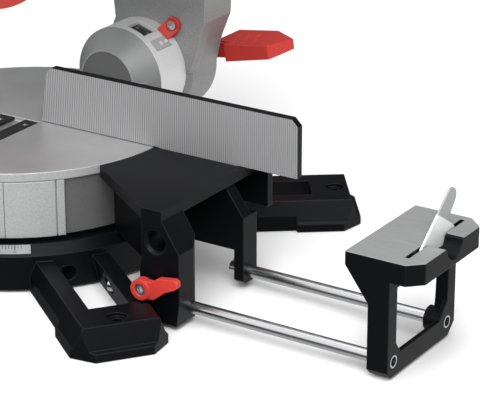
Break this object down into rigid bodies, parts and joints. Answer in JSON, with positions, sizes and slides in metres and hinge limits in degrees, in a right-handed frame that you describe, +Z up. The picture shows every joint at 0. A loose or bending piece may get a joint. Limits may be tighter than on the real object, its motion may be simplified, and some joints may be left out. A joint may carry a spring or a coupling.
{
  "type": "sliding compound mitre saw",
  "caption": "Sliding compound mitre saw with turntable, tilting saw head on rails, fence, bench feet and pull-out work supports with flip-up length stops.",
  "frame": {"origin": "on the bench under the turntable's pivot, at the centre of the four bench bolt holes", "axes": "+X along the fence to the right, +Y to the rear (the fence's face is at Y 0), +Z up"},
  "size_m": [0.887, 0.726, 0.5037],
  "materials": {
    "black_paint": "black powder coat, satin",
    "cast_silver": "sand-cast, satin",
    "hub_grey": "cast, satin",
    "fence_silver": "extruded, serrated face, black upper edge",
    "bright_steel": "ground and plated",
    "brushed_steel": "brushed",
    "fastener": "zinc plated",
    "red_plastic": "fine grain",
    "black_plastic": "fine grain",
    "grip_rubber": "matt",
    "belt_rubber": "ribbed",
    "scale_silver": "printed scale",
    "bearing_steel": "ground",
    "bronze": "sintered",
    "copper_stack": "laminated core with windings",
    "slide_white": "low-friction"
  },
  "bodies": {
    "base": {"base": "black_paint", "pivot_bolt": "fastener", "slide_ring": "slide_white", "mitre_scale": "scale_silver", "right_fence": "fence_silver", "left_fence": "fence_silver", "fence_bolts": "fastener"},
    "turntable": {"turntable": "cast_silver", "kerf_plate": "black_plastic", "mitre_pointer": "red_plastic", "bevel_shaft": "fastener", "hub_cap": "black_plastic", "bevel_scale": "scale_silver"},
    "mitre_lock": {"mitre_knob": "grip_rubber", "mitre_rod": "fastener"},
    "detent_lever": {"detent_lever": "red_plastic"},
    "bevel_arm": {"bevel_arm": "hub_grey", "bevel_pointer": "red_plastic", "pointer_screw": "fastener", "rail_bushes": "bronze"},
    "bevel_lever": {"bevel_lever": "red_plastic"},
    "rail_lock_knob": {"rail_lock_knob": "black_plastic"},
    "carriage": {"rails": "bright_steel", "yoke": "hub_grey", "rail_end_cap": "black_plastic", "pivot_pin": "fastener", "head_spring": "fastener"},
    "head_lock_pin": {"head_lock_pin": "black_plastic"},
    "head": {"head_casting": "cast_silver", "upper_guard": "cast_silver", "belt_cover": "black_plastic", "drive_belt": "belt_rubber", "motor_housing": "black_plastic", "motor_end_cap": "black_plastic", "stator": "copper_stack", "bearings": "bearing_steel", "main_handle": "grip_rubber", "cord_gland": "grip_rubber"},
    "spindle": {"blade": "brushed_steel", "arbor": "fastener", "outer_flange": "fastener", "arbor_bolt": "fastener", "driven_pulley": "bearing_steel"},
    "rotor": {"rotor": "bearing_steel"},
    "lower_guard": {"lower_guard": "red_plastic"},
    "trigger": {"trigger": "red_plastic"},
    "lock_button": {"lock_button": "red_plastic"},
    "spindle_lock": {"spindle_lock": "red_plastic"},
    "right_clamp": {"right_clamp_lever": "red_plastic", "right_clamp_screw": "fastener"},
    "right_extension": {"right_support": "black_paint", "right_tubes": "bright_steel", "right_support_pins": "fastener"},
    "right_stop": {"right_stop": "brushed_steel"},
    "left_clamp": {"left_clamp_lever": "red_plastic", "left_clamp_screw": "fastener"},
    "left_extension": {"left_support": "black_paint", "left_tubes": "bright_steel", "left_support_pins": "fastener"},
    "left_stop": {"left_stop": "brushed_steel"}
  },
  "joints": [
    {"name": "mitre", "type": "hinge", "parent": "base", "child": "turntable", "pos_m": [0, 0, 0.06], "axis": [0, 0, 1], "range_deg": [-47, 47]},
    {"name": "mitre_lock_turn", "type": "hinge", "parent": "turntable", "child": "mitre_lock", "pos_m": [0, -0.25, 0.0485], "axis": [0, 1, 0], "range_deg": [0, 180]},
    {"name": "detent_press", "type": "hinge", "parent": "turntable", "child": "detent_lever", "pos_m": [0, -0.236, 0.08], "axis": [1, 0, 0], "range_deg": [0, 12], "stiffness_Nm_per_rad": 0.6, "springref_deg": -11.46},
    {"name": "bevel", "type": "hinge", "parent": "turntable", "child": "bevel_arm", "pos_m": [0, 0.2, 0.095], "axis": [0, 1, 0], "range_deg": [-45, 0]},
    {"name": "bevel_lock_turn", "type": "hinge", "parent": "turntable", "child": "bevel_lever", "pos_m": [0, 0.25, 0.095], "axis": [0, 1, 0], "range_deg": [-20, 40]},
    {"name": "rail_lock_turn", "type": "hinge", "parent": "bevel_arm", "child": "rail_lock_knob", "pos_m": [0.08, 0.196, 0.27], "axis": [1, 0, 0], "range_deg": [-90, 90]},
    {"name": "carriage_slide", "type": "slide", "parent": "bevel_arm", "child": "carriage", "axis": [0, -1, 0], "range_m": [0, 0.14]},
    {"name": "head_lock_push", "type": "slide", "parent": "carriage", "child": "head_lock_pin", "axis": [-1, 0, 0], "range_m": [0, 0.009]},
    {"name": "head_chop", "type": "hinge", "parent": "carriage", "child": "head", "pos_m": [0, 0.092, 0.224], "axis": [1, 0, 0], "range_deg": [0, 50], "stiffness_Nm_per_rad": 18, "springref_deg": -51.57},
    {"name": "spindle_turn", "type": "hinge", "parent": "head", "child": "spindle", "pos_m": [0, -0.01561, 0.31646], "axis": [1, 0, 0], "continuous": true},
    {"name": "rotor_turn", "type": "hinge", "parent": "head", "child": "rotor", "pos_m": [0.1, 0.06189, 0.34233], "axis": [1, 0, 0], "continuous": true},
    {"name": "guard_swing", "type": "hinge", "parent": "head", "child": "lower_guard", "pos_m": [0, -0.01561, 0.31646], "axis": [1, 0, 0], "range_deg": [-140, 0]},
    {"name": "trigger_pull", "type": "hinge", "parent": "head", "child": "trigger", "pos_m": [0, 0.011, 0.48444], "axis": [1, 0, 0], "range_deg": [-10, 0], "stiffness_Nm_per_rad": 1.2, "springref_deg": 11.46},
    {"name": "lock_button_press", "type": "slide", "parent": "head", "child": "lock_button", "axis": [1, 0, 0], "range_m": [0, 0.004], "stiffness_N_per_m": 400, "springref_m": -0.004},
    {"name": "spindle_lock_press", "type": "slide", "parent": "head", "child": "spindle_lock", "axis": [-1, 0, 0], "range_m": [0, 0.002], "stiffness_N_per_m": 600, "springref_m": -0.004},
    {"name": "right_clamp_turn", "type": "hinge", "parent": "base", "child": "right_clamp", "pos_m": [0.2117, -0.12, 0.0338], "axis": [0, -1, 0], "range_deg": [0, 70]},
    {"name": "right_support_slide", "type": "slide", "parent": "base", "child": "right_extension", "axis": [1, 0, 0], "range_m": [-0.154, 0]},
    {"name": "right_stop_flip", "type": "hinge", "parent": "right_extension", "child": "right_stop", "pos_m": [0.4264, -0.066, 0.092], "axis": [1, 0, 0], "range_deg": [-38.5, 20]},
    {"name": "left_clamp_turn", "type": "hinge", "parent": "base", "child": "left_clamp", "pos_m": [-0.2117, -0.12, 0.0338], "axis": [0, 1, 0], "range_deg": [0, 70]},
    {"name": "left_support_slide", "type": "slide", "parent": "base", "child": "left_extension", "axis": [-1, 0, 0], "range_m": [-0.154, 0]},
    {"name": "left_stop_flip", "type": "hinge", "parent": "left_extension", "child": "left_stop", "pos_m": [-0.4264, -0.066, 0.092], "axis": [1, 0, 0], "range_deg": [-38.5, 20]}
  ],
  "couplings": [
    {"joint": "rotor_turn", "follows": "spindle_turn", "ratio": 2.2857},
    {"joint": "guard_swing", "follows": "head_chop", "ratio": -2.8}
  ]
}
